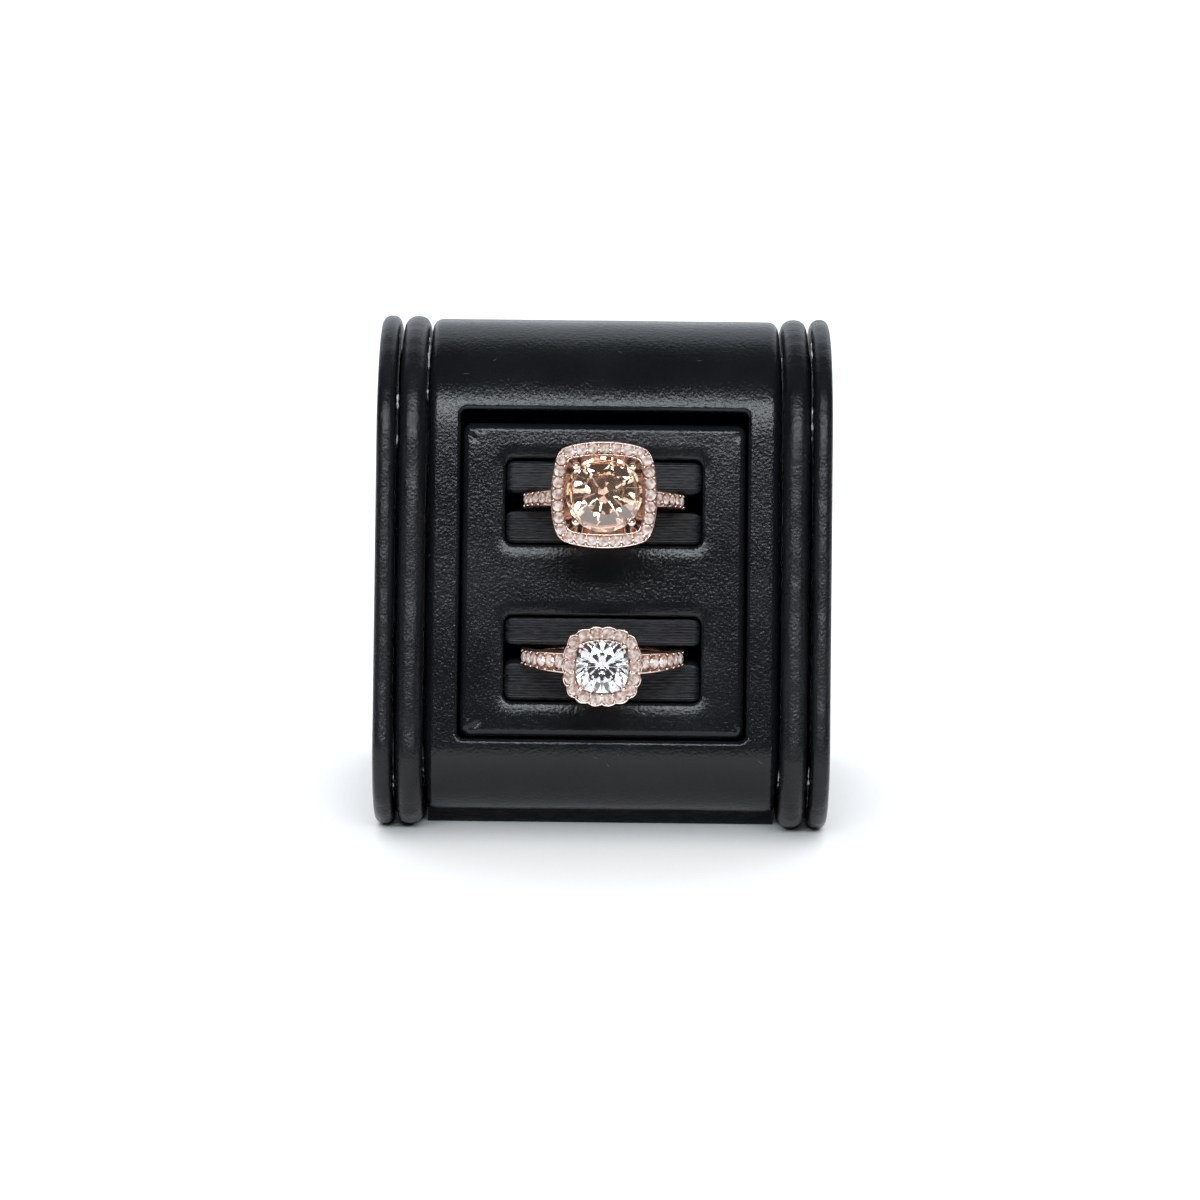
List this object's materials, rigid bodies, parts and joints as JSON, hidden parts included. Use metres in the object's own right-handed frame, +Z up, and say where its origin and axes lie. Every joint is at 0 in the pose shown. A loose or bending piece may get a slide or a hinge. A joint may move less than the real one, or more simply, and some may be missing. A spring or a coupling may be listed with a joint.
{
  "type": "ring display stand",
  "caption": "Black leatherette ring display stand: rolled body between double padded cheeks, slotted pad in its leaning face, halo rings held in foam lips.",
  "frame": {"origin": "middle of the stand's footprint, on the surface it stands on", "axes": "+Z up, +X to the right seen from the front, the leaning ring face looks towards -Y"},
  "size_m": [0.0568, 0.0574, 0.0622],
  "materials": {
    "leatherette": "satin",
    "ribbed_fabric": "matte",
    "foam": "matte",
    "fibreboard": "matte",
    "felt": "matte",
    "rose_gold": "polished",
    "champagne_stone": "polished",
    "clear_stone": "polished"
  },
  "bodies": {
    "display": {"base_felt": "felt", "body_padding": "foam", "body_wrap": "leatherette", "core_block": "fibreboard", "left_inner_cheek_board": "fibreboard", "left_inner_cheek_wrap": "leatherette", "left_outer_cheek_board": "fibreboard", "left_outer_cheek_wrap": "leatherette", "lower_slot_bottom_lip_foam": "foam", "lower_slot_bottom_lip_sleeve": "ribbed_fabric", "lower_slot_top_lip_foam": "foam", "lower_slot_top_lip_sleeve": "ribbed_fabric", "pad_board": "fibreboard", "pad_foam": "foam", "pad_wrap": "leatherette", "right_inner_cheek_board": "fibreboard", "right_inner_cheek_wrap": "leatherette", "right_outer_cheek_board": "fibreboard", "right_outer_cheek_wrap": "leatherette", "upper_slot_bottom_lip_foam": "foam", "upper_slot_bottom_lip_sleeve": "ribbed_fabric", "upper_slot_top_lip_foam": "foam", "upper_slot_top_lip_sleeve": "ribbed_fabric"},
    "upper_ring": {"upper_ring_band": "rose_gold", "upper_ring_centre_stone": "champagne_stone", "upper_ring_gallery": "rose_gold", "upper_ring_halo": "rose_gold", "upper_ring_halo_stones": "clear_stone", "upper_ring_left_shoulder_stones": "clear_stone", "upper_ring_right_shoulder_stones": "clear_stone"},
    "lower_ring": {"lower_ring_band": "rose_gold", "lower_ring_centre_stone": "clear_stone", "lower_ring_gallery": "rose_gold", "lower_ring_halo": "rose_gold", "lower_ring_halo_stones": "clear_stone", "lower_ring_left_shoulder_stones": "clear_stone", "lower_ring_right_shoulder_stones": "clear_stone"}
  },
  "joints": [
    {"name": "upper_ring_lift", "type": "slide", "parent": "display", "child": "upper_ring", "axis": [0, -0.9659, 0.2588], "range_m": [0, 0.025]},
    {"name": "lower_ring_lift", "type": "slide", "parent": "display", "child": "lower_ring", "axis": [0, -0.9919, 0.1271], "range_m": [0, 0.025]}
  ]
}
